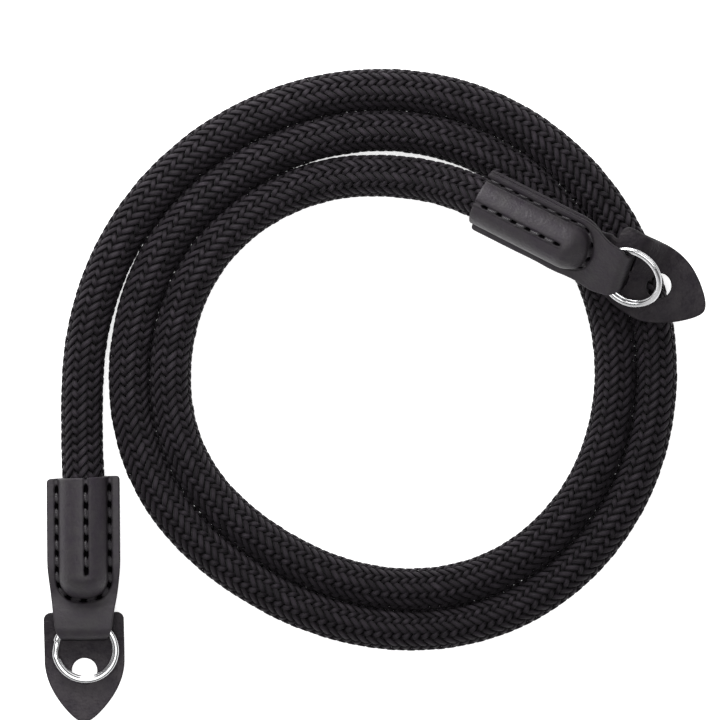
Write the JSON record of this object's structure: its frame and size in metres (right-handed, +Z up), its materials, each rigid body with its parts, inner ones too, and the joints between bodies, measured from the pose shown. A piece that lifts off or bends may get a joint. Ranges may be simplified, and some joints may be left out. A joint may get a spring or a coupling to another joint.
{
  "type": "rope camera strap",
  "caption": "Braided rope camera strap lying in flat turns, with a stitched leather tab, a split ring and a spade-shaped leather guard at each end.",
  "frame": {"origin": "on the table, under the middle of the box round the two end fittings", "axes": "+Z up from the table, +X towards the guard of the right fitting, -Y towards the guard of the left fitting"},
  "size_m": [0.1651, 0.1633, 0.0255],
  "materials": {
    "black_braid": "matt braided cord",
    "black_leather": "satin smooth leather",
    "ring_steel": "polished"
  },
  "bodies": {
    "strap": {"rope": "black_braid", "tab_left": "black_leather", "tab_right": "black_leather", "guard_left": "black_leather", "guard_right": "black_leather"},
    "left_split_ring": {"ring_left": "ring_steel"},
    "right_split_ring": {"ring_right": "ring_steel"}
  },
  "joints": [
    {"name": "left_ring_turn", "type": "hinge", "parent": "strap", "child": "left_split_ring", "pos_m": [-0.07196, -0.05085, 0.0037], "axis": [0.001, -0.1461, 0.9893], "continuous": true},
    {"name": "right_ring_turn", "type": "hinge", "parent": "strap", "child": "right_split_ring", "pos_m": [0.06344, 0.04214, 0.01949], "axis": [-0.4256, -0.5029, 0.7523], "continuous": true}
  ]
}
